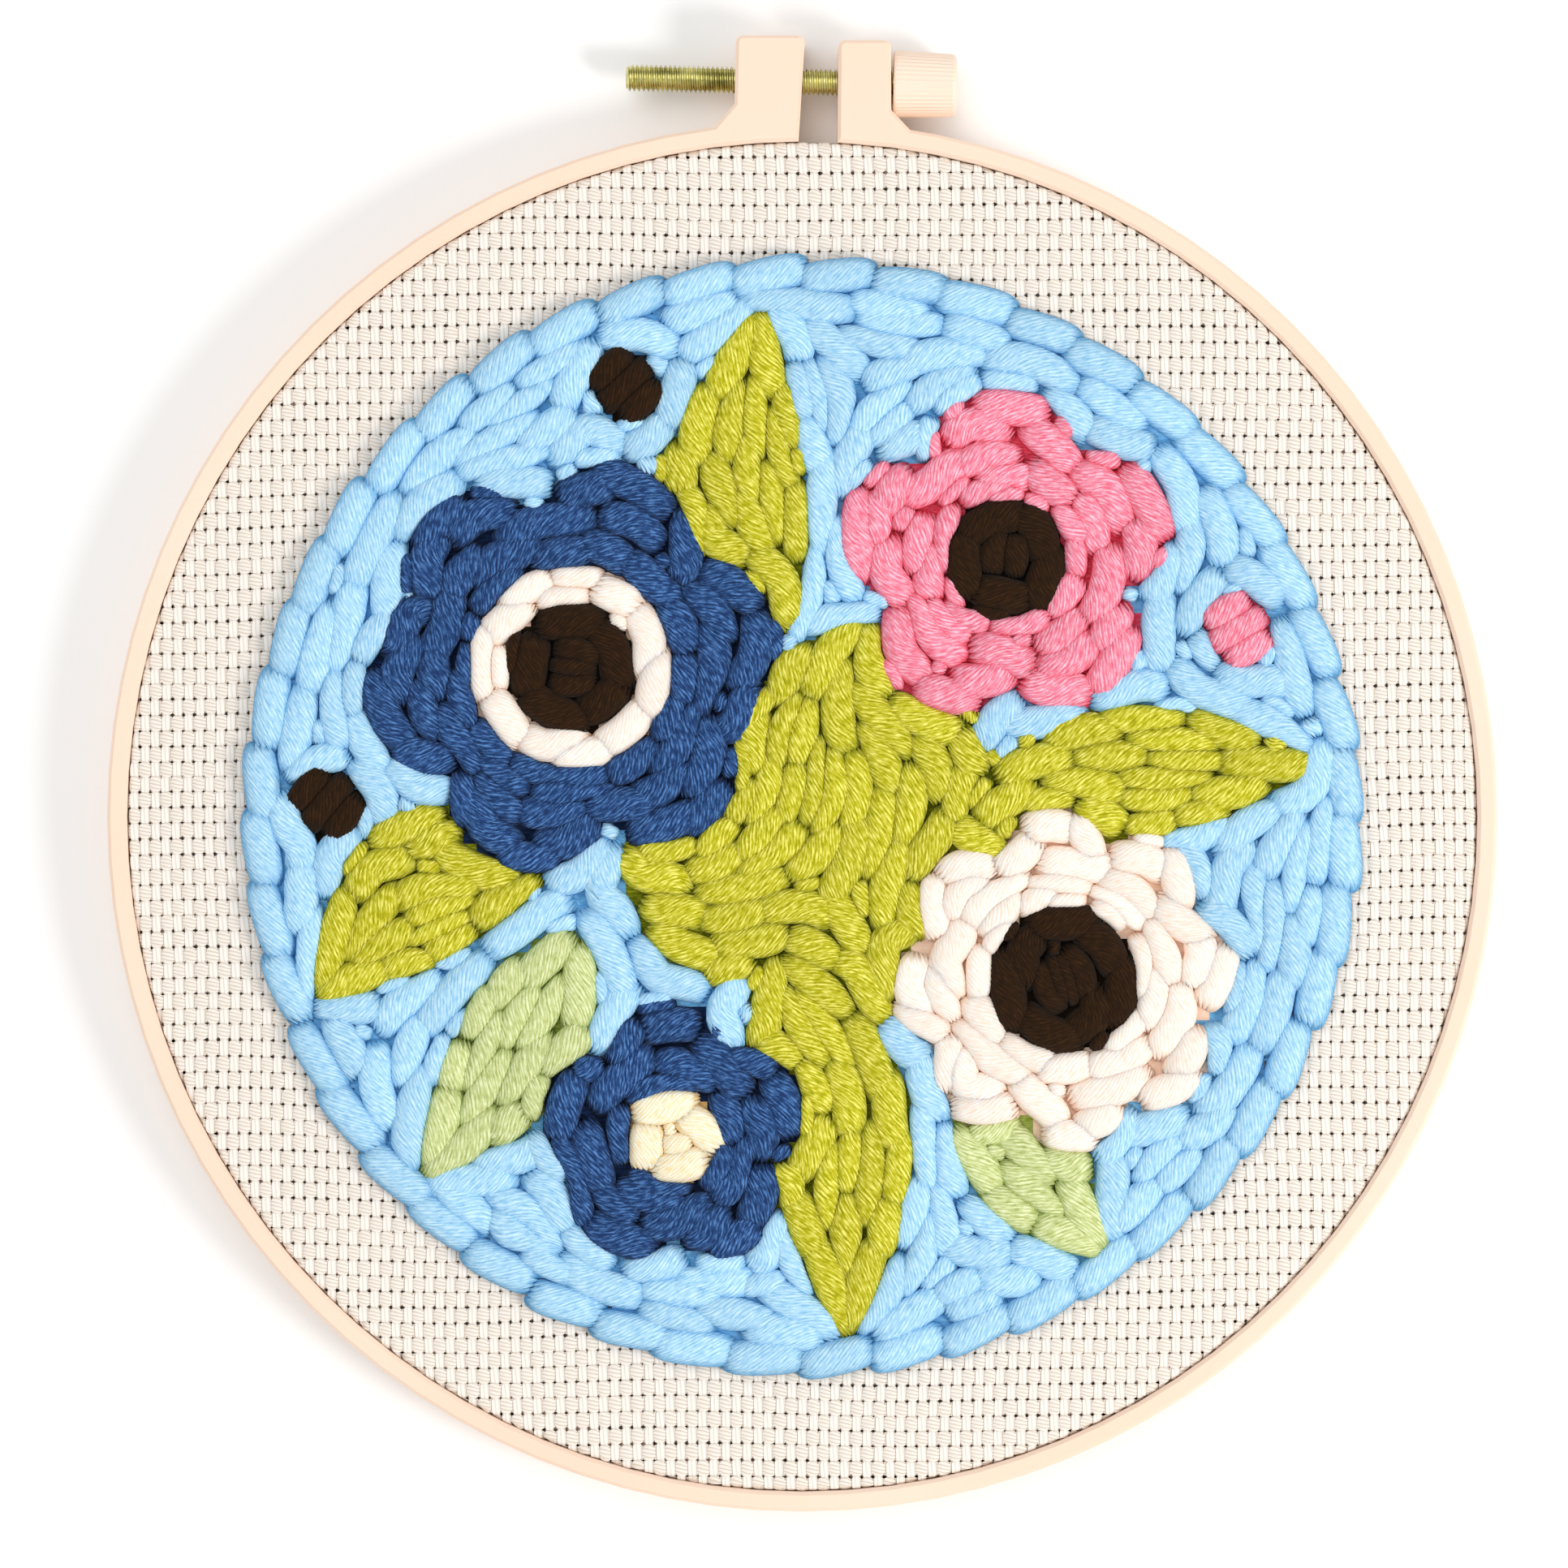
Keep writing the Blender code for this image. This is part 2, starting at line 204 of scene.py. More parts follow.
# A later motif lies over an earlier one
MOTIFS = [
    Rosette("yarn_foliage", "olive", 3.0, -1.0, 31.0, 5, -8.0, 0.20, 13.0),
    Leaf("yarn_leaf_top", "olive", -9.0, 20.0, -6.0, 75.0, 23.0, 3.0, 13.1),
    Leaf("yarn_leaf_right", "olive", 24.0, 1.0, 76.0, 8.0, 20.0, 2.0, 13.1),
    Leaf("yarn_leaf_left", "olive", -38.0, -2.0, -72.0, -27.0, 22.0, -4.0, 13.1),
    Leaf("yarn_sage_left", "sage", -33.0, -17.0, -56.0, -53.0, 19.0, 2.0, 13.1),
    Leaf("yarn_leaf_bottom", "olive", -3.0, -20.0, 7.0, -77.0, 23.0, 3.0, 13.1),
    Leaf("yarn_sage_right", "sage", 27.0, -34.0, 44.0, -65.0, 18.0, -3.0, 13.1),
    Rosette("yarn_navy_petals", "navy", -34.0, 22.0, 31.0, 6, 12.0, 0.26, 13.2),
    Rosette("yarn_pink_petals", "pink", 30.0, 38.0, 25.0, 5, 20.0, 0.28, 13.2),
    Rosette("yarn_daisy_petals", "cream", 38.5, -24.0, 25.5, 8, 5.0, 0.22, 13.2),
    Rosette("yarn_small_petals", "navy", -19.0, -47.0, 20.0, 5, 20.0, 0.28, 13.2),
    Spot("yarn_navy_ring", "cream", -34.0, 22.0, 15.0, 13.2),
    Spot("yarn_navy_core", "dark brown", -34.0, 22.0, 9.5, 13.2),
    Spot("yarn_pink_core", "dark brown", 30.0, 38.0, 9.0, 13.2),
    Spot("yarn_daisy_core", "dark brown", 38.5, -24.0, 11.0, 13.2),
    Spot("yarn_small_core", "yellow", -19.0, -47.0, 7.0, 13.2),
    Spot("yarn_berry_top", "dark brown", -26.0, 63.5, 5.2, 13.1),
    Spot("yarn_berry_right", "pink", 64.0, 27.5, 5.2, 13.1),
    Spot("yarn_berry_left", "dark brown", -70.0, 2.0, 5.2, 13.1),
]
SKY = Spot("yarn_sky", "sky", 0.0, 0.0, DISC_RADIUS, 12.9)

# Lengths and widths are those of one stitch. The colours, for the screen from 0 to 255, are its painted
# highlight on lit fibres, its body, and the painted shade in the pits beside it, in its ply valleys and low
# on its sides;
# scatter is the share of the light that passes into the yarn
YARNS = {
    "sky": Yarn("yarn_sky_blue", 12.4, 3.3, (206, 239, 255), (174, 219, 246), (92, 164, 214), 0.0),
    "olive": Yarn("yarn_olive", 11.4, 3.4, (248, 241, 122), (197, 191, 26), (88, 98, 0), 0.0),
    "sage": Yarn("yarn_sage", 10.6, 3.4, (238, 245, 196), (206, 216, 148), (122, 142, 36), 0.0),
    "navy": Yarn("yarn_navy", 11.0, 3.4, (86, 132, 192), (33, 66, 118), (10, 24, 52), 0.0),
    "pink": Yarn("yarn_pink", 11.0, 3.4, (255, 198, 215), (244, 141, 165), (222, 52, 78), 0.0),
    "cream": Yarn("yarn_cream", 9.6, 3.3, (255, 251, 244), (254, 241, 230), (252, 212, 184), 0.35),
    "yellow": Yarn("yarn_yellow", 9.0, 3.3, (255, 252, 234), (254, 243, 213), (250, 198, 114), 0.35),
    "dark brown": Yarn("yarn_dark_brown", 10.0, 3.4, (56, 32, 8), (38, 19, 0), (22, 12, 0), 0.0),
}

# The other colours, for the screen as well; pairs are a material's shade and its light
# Painted shade where a cotton strip dips under a crossing strip
DIP_SHADE = (228, 211, 190)
# Painted shade, dark and warm, on the cotton strips' edges beside the weave's holes
HOLE_SHADE = (128, 86, 46)
RING_PLASTIC = ((249, 218, 194), (251, 223, 201))
# The knob's plastic is the ring's made a little lighter: painted light against the shade on its ridges' sides
LIT_KNOB_PLASTIC = ((252, 227, 206), (254, 231, 212))
ZINC = ((166, 160, 90), (232, 226, 162))
TABLE_WHITE = (253, 253, 252)

# How materials read noise and the meshes' own looks: first and last are the values that come in, and
# to_first and to_last are what they become
Span = namedtuple("Span", "first last to_first to_last", defaults=(0.0, 1.0))
# Painted highlight on lit fibres
FIBRE_LIT = Span(0.46, 0.63)
# Painted shade on sunken fibres, and in the pits, where a few fibres show the body colour
SUNKEN_FIBRE_SHADE = Span(0.47, 0.33, 0.0, 0.42)
FIBRE_IN_PIT = Span(0.40, 0.64, 0.0, 0.4)
# Painted highlight on the ply crests
PLY_CREST_LIT = Span(0.0, 1.0, 0.35, 1.0)
# Painted shade in the ply valleys and low on a stitch's sides
PLY_VALLEY_SHADE = Span(0.0, 0.8, 0.60, 1.0)
LOW_SIDE_SHADE = Span(0.40, 0.86)
STITCH_TINT = Span(0.0, 1.0, 0.92, 1.03)
# Painted shade in the grooves between a strip's threads
COTTON_GROOVE = Span(0.2, 0.95, 1.0, 0.1)
COTTON_GRAIN = Span(0.3, 0.6, 0.75, 1.0)
# Painted shade where a strip dips under a crossing strip
COTTON_RAISED = Span(0.0, 0.5)
# Painted shade on a strip's edges beside the holes
COTTON_BY_HOLE = Span(0.62, 1.0, 0.0, 0.85)
CLOUD = Span(0.35, 0.65)
PLASTIC_ROUGHNESS = Span(0.3, 0.7, 0.36, 0.5)
ZINC_ROUGHNESS = Span(0.3, 0.7, 0.18, 0.34)
YARN_FIBRE_SCALE = (0.7, 3.4, 1.0)
COTTON_FIBRE_SCALE = (0.7, 6.0, 1.0)
COTTON_STRAY = 0.08
BUMP_DISTANCE = 0.0001


# Meshes


def linear(red, green, blue):
    """A screen colour as the linear one that shaders take."""
    shares = [value / 255 for value in (red, green, blue)]
    return tuple(((s + 0.055) / 1.055) ** 2.4 if s > 0.04 else s / 12.92 for s in shares) + (1.0,)


def lattice(rows, columns, first=0, flip=False):
    """The quads between the points of a grid that is stored row by row."""
    corner = first + np.arange(rows - 1)[:, None] * columns + np.arange(columns - 1)[None, :]
    quads = np.stack([corner, corner + 1, corner + columns + 1, corner + columns], axis=-1).reshape(-1, 4)
    return quads[:, ::-1] if flip else quads


def add_object(name, points, quads, material, uv=None, look=None):
    mesh = bpy.data.meshes.new(name)
    mesh.vertices.add(len(points))
    mesh.vertices.foreach_set("co", ((points + RING_CENTRE) * MM).ravel())
    mesh.loops.add(quads.size)
    mesh.loops.foreach_set("vertex_index", quads.ravel().astype(np.int32))
    mesh.polygons.add(len(quads))
    mesh.polygons.foreach_set("loop_start", np.arange(0, quads.size, 4, dtype=np.int32))
    mesh.update(calc_edges=True)
    mesh.shade_smooth()
    if uv is not None:
        mesh.uv_layers.new(name="thread").data.foreach_set("uv", uv[quads.ravel()].ravel())
    if look is not None:
        colours = np.column_stack([look, np.ones(len(look))])
        layer = mesh.color_attributes.new("look", "FLOAT_COLOR", "POINT")
        layer.data.foreach_set("color", colours.ravel())
    mesh.materials.append(material)
    obj = bpy.data.objects.new(name, mesh)
    bpy.context.scene.collection.objects.link(obj)
    return obj


class MeshParts:
    """Gathers lattices of points into one mesh.

    Each point has a place along and across its thread, and a look of three shares from 0 to 1.
    Yarn's look is the ply's crest, the height in the stitch and the stitch's tint; the first two place
    painted highlight and painted shade.
    Cotton's is how far the strip lies on top, how near the point is to a hole, and a draw of the strip's own;
    the first two place painted shade.
    """

    def __init__(self):
        self.points, self.quads, self.uv, self.look = [], [], [], []
        self.count = 0

    def add(self, points, uv, look, flip=False):
        rows, columns = points.shape[:2]
        self.quads.append(lattice(rows, columns, self.count, flip))
        self.points.append(points.reshape(-1, 3))
        self.uv.append(uv.reshape(-1, 2))
        self.look.append(look.reshape(-1, 3))
        self.count += rows * columns

    def add_plain(self, points, flip=False):
        """A lattice whose material uses neither its threads nor its look."""
        blank = np.zeros(points.shape)
        self.add(points, blank[..., :2], blank, flip)

    def build(self, name, material):
        return add_object(name, np.concatenate(self.points), np.concatenate(self.quads), material,
                          np.concatenate(self.uv), np.concatenate(self.look))


# Materials


class Shader:
    """A material with a Principled shader, and short ways to add nodes to it."""

    def __init__(self, name, **settings):
        self.material = bpy.data.materials.new(name)
        self.material.use_nodes = True
        self.tree = self.material.node_tree
        self.surface = self.tree.nodes["Principled BSDF"]
        for socket, value in settings.items():
            self.surface.inputs[socket.replace("_", " ")].default_value = value

    def node(self, kind, sources=None, **settings):
        """A node whose sockets take another node's output or a fixed value."""
        node = self.tree.nodes.new(kind)
        for key, value in settings.items():
            setattr(node, key, value)
        for socket, source in (sources or {}).items():
            if hasattr(source, "links"):
                self.tree.links.new(source, node.inputs[socket])
            else:
                node.inputs[socket].default_value = source
        return node

    def link(self, output, socket):
        self.tree.links.new(output, self.surface.inputs[socket])

    def mix(self, share, first, second, blend="MIX"):
        sources = {0: share, 6: first, 7: second}
        return self.node("ShaderNodeMix", sources, data_type="RGBA", blend_type=blend).outputs[2]

    def calculate(self, operation, *values):
        return self.node("ShaderNodeMath", dict(enumerate(values)), operation=operation).outputs[0]

    def spread(self, value, span):
        """Maps a value by a Span, and holds it inside."""
        return self.node("ShaderNodeMapRange", dict(enumerate((value, *span)))).outputs[0]

    def noise(self, place, scale, detail, roughness):
        sources = {"Vector": place, "Scale": scale, "Detail": detail, "Roughness": roughness}
        return self.node("ShaderNodeTexNoise", sources).outputs[0]

    def thread_place(self):
        return self.node("ShaderNodeUVMap", uv_map="thread").outputs[0]

    def threads(self, scale):
        """Noise that is drawn out along the thread."""
        stretch = self.node("ShaderNodeMapping", {"Vector": self.thread_place(), "Scale": scale})
        return self.noise(stretch.outputs[0], scale=1.0, detail=2.0, roughness=0.6)

    def looks(self):
        """The three shares of the mesh's look."""
        look = self.node("ShaderNodeVertexColor", layer_name="look")
        return self.node("ShaderNodeSeparateColor", {0: look.outputs[0]}).outputs

    def bump(self, height, strength):
        sources = {"Strength": strength, "Distance": BUMP_DISTANCE, "Height": height}
        self.link(self.node("ShaderNodeBump", sources).outputs[0], "Normal")


def yarn_material(name, yarn):
    """Soft yarn: painted highlight on short fibres along each ply's crest, and painted shade in the pits, the
    ply valleys and low on the sides, on sunken fibres and between the stitches.
    """
    shader = Shader(name, Roughness=0.95, Specular_IOR_Level=0.2, Sheen_Weight=0.05, Sheen_Roughness=0.5,
                    Subsurface_Weight=yarn.scatter, Subsurface_Scale=0.0015,
                    Subsurface_Radius=(1.0, 0.7, 0.5))
    light, body, deep = (linear(*colour) for colour in (yarn.light, yarn.body, yarn.deep))
    crest, height, tint = shader.looks()
    fibre = shader.threads(YARN_FIBRE_SCALE)
    # Painted highlight: fibres on the ply crests take the light colour
    fibre_highlight = shader.spread(fibre, FIBRE_LIT)
    lit = shader.calculate("MULTIPLY", fibre_highlight, shader.spread(crest, PLY_CREST_LIT))
    top = shader.mix(lit, body, light)
    # Painted shade on sunken fibres
    top = shader.mix(shader.spread(fibre, SUNKEN_FIBRE_SHADE), top, deep)
    # Painted shade in the pits and between the stitches, broken by a few body-coloured fibres
    pit_shade = shader.mix(shader.spread(fibre, FIBRE_IN_PIT), deep, body)
    # Painted shade in the ply valleys and low on the stitch's sides, where open_to_light is small
    valley_shade = shader.spread(crest, PLY_VALLEY_SHADE)
    open_to_light = shader.calculate("MULTIPLY", valley_shade, shader.spread(height, LOW_SIDE_SHADE))
    colour = shader.mix(open_to_light, pit_shade, top)
    grey = shader.node("ShaderNodeCombineColor",
                       {channel: shader.spread(tint, STITCH_TINT) for channel in range(3)})
    shader.link(shader.mix(1.0, colour, grey.outputs[0], "MULTIPLY"), "Base Color")
    shader.bump(fibre, strength=0.4)
    return shader.material


def cloth_material(name, light, shade, lines):
    """Cotton thread, with as many fine lines of painted shade across its strip as the strip has threads,
    and painted shade where it dips under a crossing strip and beside the holes.
    """
    shader = Shader(name, Roughness=0.85, Sheen_Weight=0.1, Sheen_Roughness=0.4)
    on_top, by_hole, _ = shader.looks()
    fibre = shader.threads(COTTON_FIBRE_SCALE)
    place = shader.node("ShaderNodeSeparateXYZ", {0: shader.thread_place()})
    across = shader.calculate("MULTIPLY_ADD", fibre, COTTON_STRAY, place.outputs[1])
    # Painted shade in the grooves between the threads, and the light colour on their tops
    groove = shader.calculate("COSINE", shader.calculate("MULTIPLY", across, 2 * math.pi * lines))
    depth = shader.spread(groove, COTTON_GROOVE)
    lit = shader.calculate("MULTIPLY", depth, shader.spread(fibre, COTTON_GRAIN))
    colour = shader.mix(lit, linear(*shade), linear(*light))
    # Painted shade where the strip dips under a crossing strip
    colour = shader.mix(shader.spread(on_top, COTTON_RAISED), linear(*DIP_SHADE), colour)
    # Painted shade on the strip's edges beside the holes
    colour = shader.mix(shader.spread(by_hole, COTTON_BY_HOLE), colour, linear(*HOLE_SHADE))
    shader.link(colour, "Base Color")
    shader.bump(lit, strength=0.4)
    return shader.material


def plastic_material(name, shade, light):
    shader = Shader(name, Roughness=0.42, Subsurface_Weight=0.12, Subsurface_Scale=0.0012,
                    Subsurface_Radius=(1.0, 0.8, 0.6))
    place = shader.node("ShaderNodeTexCoord").outputs["Object"]
    cloud = shader.noise(place, scale=18.0, detail=3.0, roughness=0.5)
    shader.link(shader.mix(shader.spread(cloud, CLOUD), linear(*shade), linear(*light)), "Base Color")
    grain = shader.noise(place, scale=900.0, detail=2.0, roughness=0.5)
    shader.link(shader.spread(grain, PLASTIC_ROUGHNESS), "Roughness")
    shader.bump(grain, strength=0.12)
    return shader.material


def zinc_material(shade, light):
    shader = Shader("yellow_zinc", Metallic=1.0)
    place = shader.node("ShaderNodeTexCoord").outputs["Object"]
    cloud = shader.noise(place, scale=260.0, detail=3.0, roughness=0.6)
    shader.link(shader.mix(shader.spread(cloud, CLOUD), linear(*shade), linear(*light)), "Base Color")
    shader.link(shader.spread(cloud, ZINC_ROUGHNESS), "Roughness")
    return shader.material


def table_material():
    return Shader("white_table", Roughness=0.7, Base_Color=linear(*TABLE_WHITE)).material


# The layout of the stitches


def inside_leaf(leaf, x, y):
    along_x = leaf.tip_x - leaf.base_x
    along_y = leaf.tip_y - leaf.base_y
    length = math.hypot(along_x, along_y)
    along_x /= length
    along_y /= length
    share = ((x - leaf.base_x) * along_x + (y - leaf.base_y) * along_y) / length
    across = (y - leaf.base_y) * along_x - (x - leaf.base_x) * along_y
    share_in = np.clip(share, 0.0, 1.0)
    widest = leaf.width / 2 * np.sin(np.pi * share_in**LEAF_LEAN) ** LEAF_FULLNESS
    off_midrib = np.abs(across - leaf.bend * np.sin(np.pi * share_in))
    return (share > 0) & (share < 1) & (off_midrib < widest)


def inside_motif(motif, x, y):
    if isinstance(motif, Leaf):
        return inside_leaf(motif, x, y)
    distance = np.hypot(x - motif.x, y - motif.y)
    if isinstance(motif, Spot):
        return distance < motif.radius
    angle = np.arctan2(y - motif.y, x - motif.x) - math.radians(motif.turn)
    swell = np.abs(np.cos(motif.petals * angle / 2)) ** PETAL_FULLNESS
    return distance < motif.radius * (1 - motif.notch + motif.notch * swell)


def blur(field, reach):
    for axis in (0, 1):
        shifted = (np.roll(field, shift, axis=axis) for shift in range(-reach, reach + 1))
        field = sum(shifted) / (2 * reach + 1)
    return field


def smoothed(values):
    return np.convolve(np.pad(values, 1, "edge"), SMOOTHING, "valid")


def ahead_and_side(heading):
    """The flat direction of a heading, and the one to its left."""
    ahead = np.array([math.cos(heading), math.sin(heading)])
    return ahead, np.array([-ahead[1], ahead[0]])


def largest_patch(rows, columns):
    """Which points of a set on the grid make up its largest connected patch."""
    left = {point: index for index, point in enumerate(zip(rows.tolist(), columns.tolist()))}
    best = []
    while left:
        point, index = left.popitem()
        patch, edge = [index], [point]
        while edge:
            row, column = edge.pop()
            for beside in ((row + 1, column), (row - 1, column), (row, column + 1), (row, column - 1)):
                if beside in left:
                    patch.append(left.pop(beside))
                    edge.append(beside)
        if len(patch) > len(best):
            best = patch
    return best


class StitchPlan:
    """Fills each coloured area with stitches that lie side by side along its edges, without gaps."""

    def __init__(self):
        self.rng = np.random.default_rng(SEED)
        reach = DISC_RADIUS + GRID_MARGIN
        self.axis = np.arange(-reach, reach + GRID_STEP, GRID_STEP)
        self.x, self.y = np.meshgrid(self.axis, self.axis)
        self.area = self.label_areas()
        self.heading = self.follow_edges()
        self.rim = self.rim_row()
        self.stitches = {}
        for number, motif in enumerate([SKY, *MOTIFS]):
            if isinstance(motif, Spot) and motif.radius < SMALL_SPOT_RADIUS:
                self.stitches[motif.name] = self.side_by_side(motif)
            else:
                stitches = self.fill(number, motif)
                self.stitches[motif.name] = stitches + self.close_gaps(number, motif, stitches)

    def label_areas(self):
        """The number of the area that each grid point lies in, with the sky as 0 and the cloth as -1."""
        area = np.full(self.x.shape, -1)
        area[np.hypot(self.x, self.y) < RIM_ROW_INSIDE] = 0
        for number, motif in enumerate(MOTIFS, start=1):
            area[inside_motif(motif, self.x, self.y)] = number
        return area

    def measure_edges(self):
        """How far each grid point lies from its area's edge, and the way from there as a complex number."""
        across = self.area[:, 1:] != self.area[:, :-1]
        down = self.area[1:, :] != self.area[:-1, :]
        edge_x = np.concatenate([self.x[:, 1:][across] - GRID_STEP / 2, self.x[1:, :][down]])
        edge_y = np.concatenate([self.y[:, 1:][across], self.y[1:, :][down] - GRID_STEP / 2])
        tree = KDTree(len(edge_x))
        for index, point in enumerate(zip(edge_x, edge_y)):
            tree.insert((*point, 0.0), index)
        tree.balance()
        depth = np.full(self.x.shape, NO_DEPTH)
        away = np.zeros(self.x.shape, complex)
        for row, column in zip(*np.nonzero(self.area >= 0)):
            here = (self.x[row, column], self.y[row, column], 0.0)
            nearest, _, distance = tree.find(here)
            depth[row, column] = distance
            away[row, column] = complex(here[0] - nearest[0], here[1] - nearest[1])
        return depth, away

    def follow_edges(self):
        """The heading of the yarn at each grid point."""
        depth, away = self.measure_edges()
        # Squaring makes opposite headings equal, so that they can be averaged
        along = (1j * away) ** 2
        size = np.abs(along)
        along = np.where(size > 0, along / np.where(size > 0, size, 1.0), 0.0)
        heading = np.zeros(self.x.shape)
        for number in range(len(MOTIFS) + 1):
            own = self.area == number
            held = own & (depth < EDGE_BAND)
            field = np.where(own, along, 0.0)
            for _ in range(HEADING_PASSES):
                field = np.where(held, along, blur(field, HEADING_BLUR))
                field = np.where(own, field / np.maximum(np.abs(field), TINY), 0.0)
            heading[own] = np.angle(field[own]) / 2
        return heading

    def heading_at(self, x, y):
        column = int(round((x - self.axis[0]) / GRID_STEP))
        row = int(round((y - self.axis[0]) / GRID_STEP))
        return self.heading[row, column]

    def fill(self, number, motif):
        """The stitches of one area, from centres that are evened out in cells as long as a stitch."""
        yarn = YARNS[motif.colour]
        rows, columns = np.nonzero(self.area == number)
        place = np.column_stack([self.x[rows, columns], self.y[rows, columns]])
        heading = self.heading[rows, columns]
        count = max(2, round(len(place) * GRID_STEP**2 / (yarn.length * yarn.width)))
        centres = place[self.rng.choice(len(place), count, replace=False)]
        cosine = np.cos(heading)[:, None]
        sine = np.sin(heading)[:, None]
        stretch = yarn.length / yarn.width
        for _ in range(SPREADING_PASSES):
            gap_x = place[:, :1] - centres[:, 0]
            gap_y = place[:, 1:] - centres[:, 1]
            along = (gap_x * cosine + gap_y * sine) / stretch
            across = gap_y * cosine - gap_x * sine
            owner = np.argmin(along**2 + across**2, axis=1)
            size = np.maximum(np.bincount(owner, minlength=count), 1)
            centres = np.column_stack([np.bincount(owner, place[:, k], count) / size for k in (0, 1)])
        stitches = []
        for index in range(count):
            own = owner == index
            cell = place[own][largest_patch(rows[own], columns[own])]
            if len(cell) > LEAST_CELL:
                stitches.append(self.stitch_in(cell, motif, yarn))
        return stitches

    def side_by_side(self, spot):
        """A small round spot as a few parallel stitches."""
        ahead, side = ahead_and_side(self.rng.uniform(*SPOT_HEADING))
        count = round(2 * spot.radius / YARNS[spot.colour].width)
        width = 2 * spot.radius / count
        stitches = []
        for index in range(count):
            off = (index - (count - 1) / 2) * width
            half = math.sqrt(spot.radius**2 - (abs(off) * SPOT_SHORTENING) ** 2)
            steps = np.linspace(-half, half, PATH_POINTS)[:, None]
            path = (spot.x, spot.y) + steps * ahead + off * (1 - SPOT_BOW * (steps / half) ** 2) * side
            widths = np.full(PATH_POINTS, width * SPOT_WIDENING)
            stitches.append(Stitch(path, widths, spot.top + self.rng.uniform(*SPOT_RISE)))
        return stitches

    def close_gaps(self, number, motif, stitches):
        """Short, lower stitches over the places of an area that its stitches leave bare."""
        bare = self.area == number
        for stitch in stitches + (self.rim if number == 0 else []):
            self.cover(bare, stitch)
        fillers = []
        for _ in range(MOST_FILLERS):
            crowd = np.where(bare, blur(bare.astype(float), GAP_BLUR), 0.0)
            row, column = np.unravel_index(np.argmax(crowd), crowd.shape)
            if crowd[row, column] < GAP_SHARE:
                break
            distance = np.hypot(self.x - self.x[row, column], self.y - self.y[row, column])
            rows, columns = np.nonzero(bare & (distance < GAP_REACH))
            patch = largest_patch(rows, columns)
            rows, columns = rows[patch], columns[patch]
            cell = np.column_stack([self.x[rows, columns], self.y[rows, columns]])
            filler = self.stitch_in(cell, motif, YARNS[motif.colour])
            fillers.append(filler._replace(top=filler.top - GAP_DROP))
            bare[rows, columns] = False
        return fillers

    def cover(self, bare, stitch):
        """Marks the grid points that a stitch hides under its upper half as no longer bare."""
        line = Line(stitch.path)
        along = np.append(np.arange(0.0, line.length, GRID_STEP / 2), line.length)
        full = fullness(along, line.length)
        need = np.minimum(HIDING_RISE / np.maximum(full**STITCH_END_RISE, TINY), 1.0)
        reach = half_width(line, stitch, along, full) * (1 - need**BODY_POWER) ** (1 / BODY_POWER)
        for point, radius in zip(line.read(line.path, along), reach):
            column, row = (int((value - self.axis[0]) / GRID_STEP) for value in point)
            window = tuple(slice(at - HIDING_REACH, at + HIDING_REACH + 2) for at in (row, column))
            bare[window] &= np.hypot(self.x[window] - point[0], self.y[window] - point[1]) > radius

    def stitch_in(self, cell, motif, yarn):
        """The stitch that fills a cell of grid points, along its middle line and as wide as it is."""
        centre = cell.mean(axis=0)
        ahead, side = ahead_and_side(self.heading_at(*centre))
        along = (cell - centre).dot(ahead)
        across = (cell - centre).dot(side)
        marks = np.linspace(along.min() - END_OVERLAP, along.max() + END_OVERLAP, PATH_POINTS)
        middle, width = np.zeros(PATH_POINTS), np.zeros(PATH_POINTS)
        band = max(4, round(len(cell) * MARK_BAND / (np.ptp(along) + GRID_STEP)))
        for index, mark in enumerate(np.clip(marks, along.min() + MARK_INSET, along.max() - MARK_INSET)):
            near = across[np.argsort(np.abs(along - mark))[:band]]
            middle[index] = (near.min() + near.max()) / 2
            width[index] = near.max() - near.min() + GRID_STEP
        width = smoothed(width)
        path = centre + marks[:, None] * ahead + smoothed(middle)[:, None] * side
        narrowest = max(NARROWEST * yarn.width, NARROWEST_OF_OWN * width.max())
        width = np.clip(width, narrowest, WIDEST * yarn.width)
        return Stitch(path, width, motif.top + self.rng.uniform(*TOP_STRAY))

    def rim_row(self):
        """One row of longer stitches round the disc's edge, each a little askew."""
        stitches = []
        for index in range(RIM_STITCHES):
            angle = 2 * math.pi * (index + 0.5) / RIM_STITCHES + self.rng.uniform(*RIM_TURN_STRAY)
            outward, ahead = ahead_and_side(angle)
            steps = np.linspace(-0.5, 0.5, RIM_PATH_POINTS)[:, None] * RIM_STITCH_LENGTH
            steps = steps * self.rng.uniform(*RIM_LENGTH_STRAY)
            askew = RIM_ASKEW + self.rng.uniform(*RIM_ASKEW_STRAY)
            path = RIM_ROW_RADIUS * outward + steps * ahead - (askew * steps + RIM_BEND * steps**2) * outward
            width = RIM_STITCH_WIDTH * self.rng.uniform(*RIM_WIDTH_STRAY) * np.ones(RIM_PATH_POINTS)
            stitches.append(Stitch(path, width, SKY.top + self.rng.uniform(*RIM_TOP_STRAY)))
        return stitches


# Stitches


class Line:
    """A flat line that can be read at any length along it."""

    def __init__(self, path):
        steps = np.hypot(*np.diff(path, axis=0).T)
        self.marks = np.concatenate([[0.0], np.cumsum(steps)])
        self.length = self.marks[-1]
        self.path = path
        heads = np.gradient(path, axis=0)
        self.heads = heads / np.linalg.norm(heads, axis=1)[:, None]

    def read(self, values, along):
        return np.stack([np.interp(along, self.marks, column) for column in values.T], axis=-1)


def fullness(along, length):
    """How full a stitch is at a place along it, from 0 at its ends to 1 in its middle."""
    share = np.abs(2 * along / length - 1)
    return np.clip(1 - share**STITCH_END_POWER, 0.0, 1.0) ** 0.5


